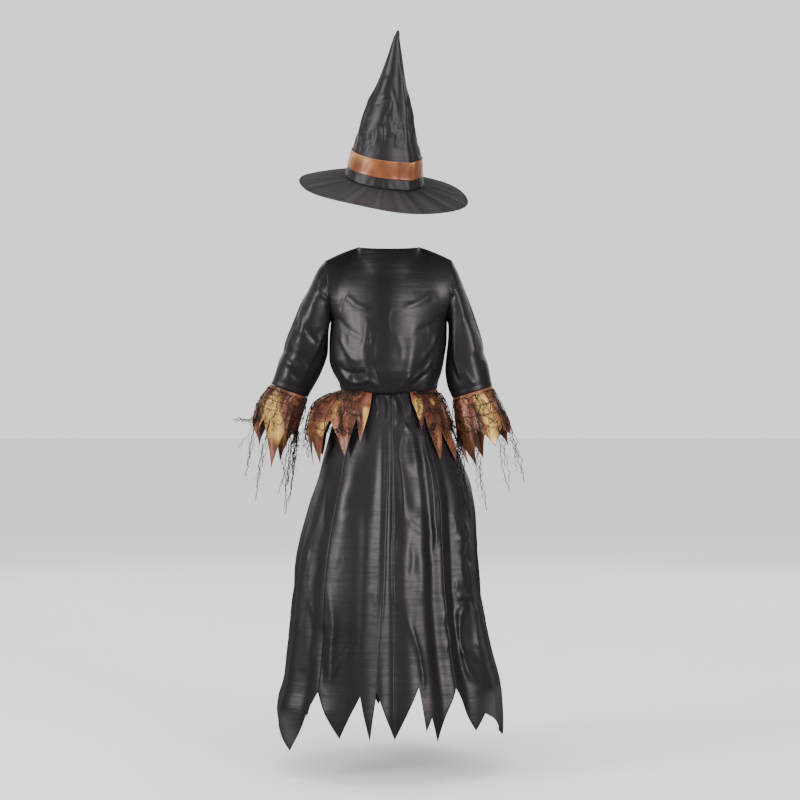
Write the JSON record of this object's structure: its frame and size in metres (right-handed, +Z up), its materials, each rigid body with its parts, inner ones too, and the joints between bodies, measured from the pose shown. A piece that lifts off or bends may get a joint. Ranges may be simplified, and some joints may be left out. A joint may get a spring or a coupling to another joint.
{
  "type": "witch costume: long-sleeved dress and pointed hat",
  "caption": "Child's black satin witch dress with pointed hem, torn net over copper cuffs and hip points, and a wide-brimmed pointed hat, posed as worn.",
  "frame": {"origin": "between the shoulders, level with the nape, where the wearer's shoulders carry the dress", "axes": "+Z up along the body; -Y the wearer's front; +X the wearer's left"},
  "size_m": [0.5824, 0.4241, 1.3959],
  "materials": {
    "black_satin": "soft satin with broad purplish-grey highlights",
    "copper_satin": "shot copper satin with gold highlights",
    "black_net": "dull thread",
    "hat_satin": "stiffened satin, softly shining",
    "band_satin": "copper satin ribbon"
  },
  "bodies": {
    "root": {"skirt_back_left": "black_satin", "skirt_side_back_left": "black_satin", "skirt_side_front_left": "black_satin", "skirt_front_left": "black_satin", "skirt_front_right": "black_satin", "skirt_side_front_right": "black_satin", "skirt_side_back_right": "black_satin", "skirt_back_right": "black_satin", "bodice_back": "black_satin", "bodice_front": "black_satin", "sleeve_left": "black_satin", "sleeve_right": "black_satin", "cuff_left": "copper_satin", "cuff_right": "copper_satin", "peplum_left": "copper_satin", "peplum_right": "copper_satin", "cuff_web_left": "black_net", "cuff_web_right": "black_net", "peplum_web_left": "black_net", "peplum_web_right": "black_net", "hat_crown": "hat_satin", "hat_brim": "hat_satin", "hat_band": "band_satin"}
  },
  "joints": []
}
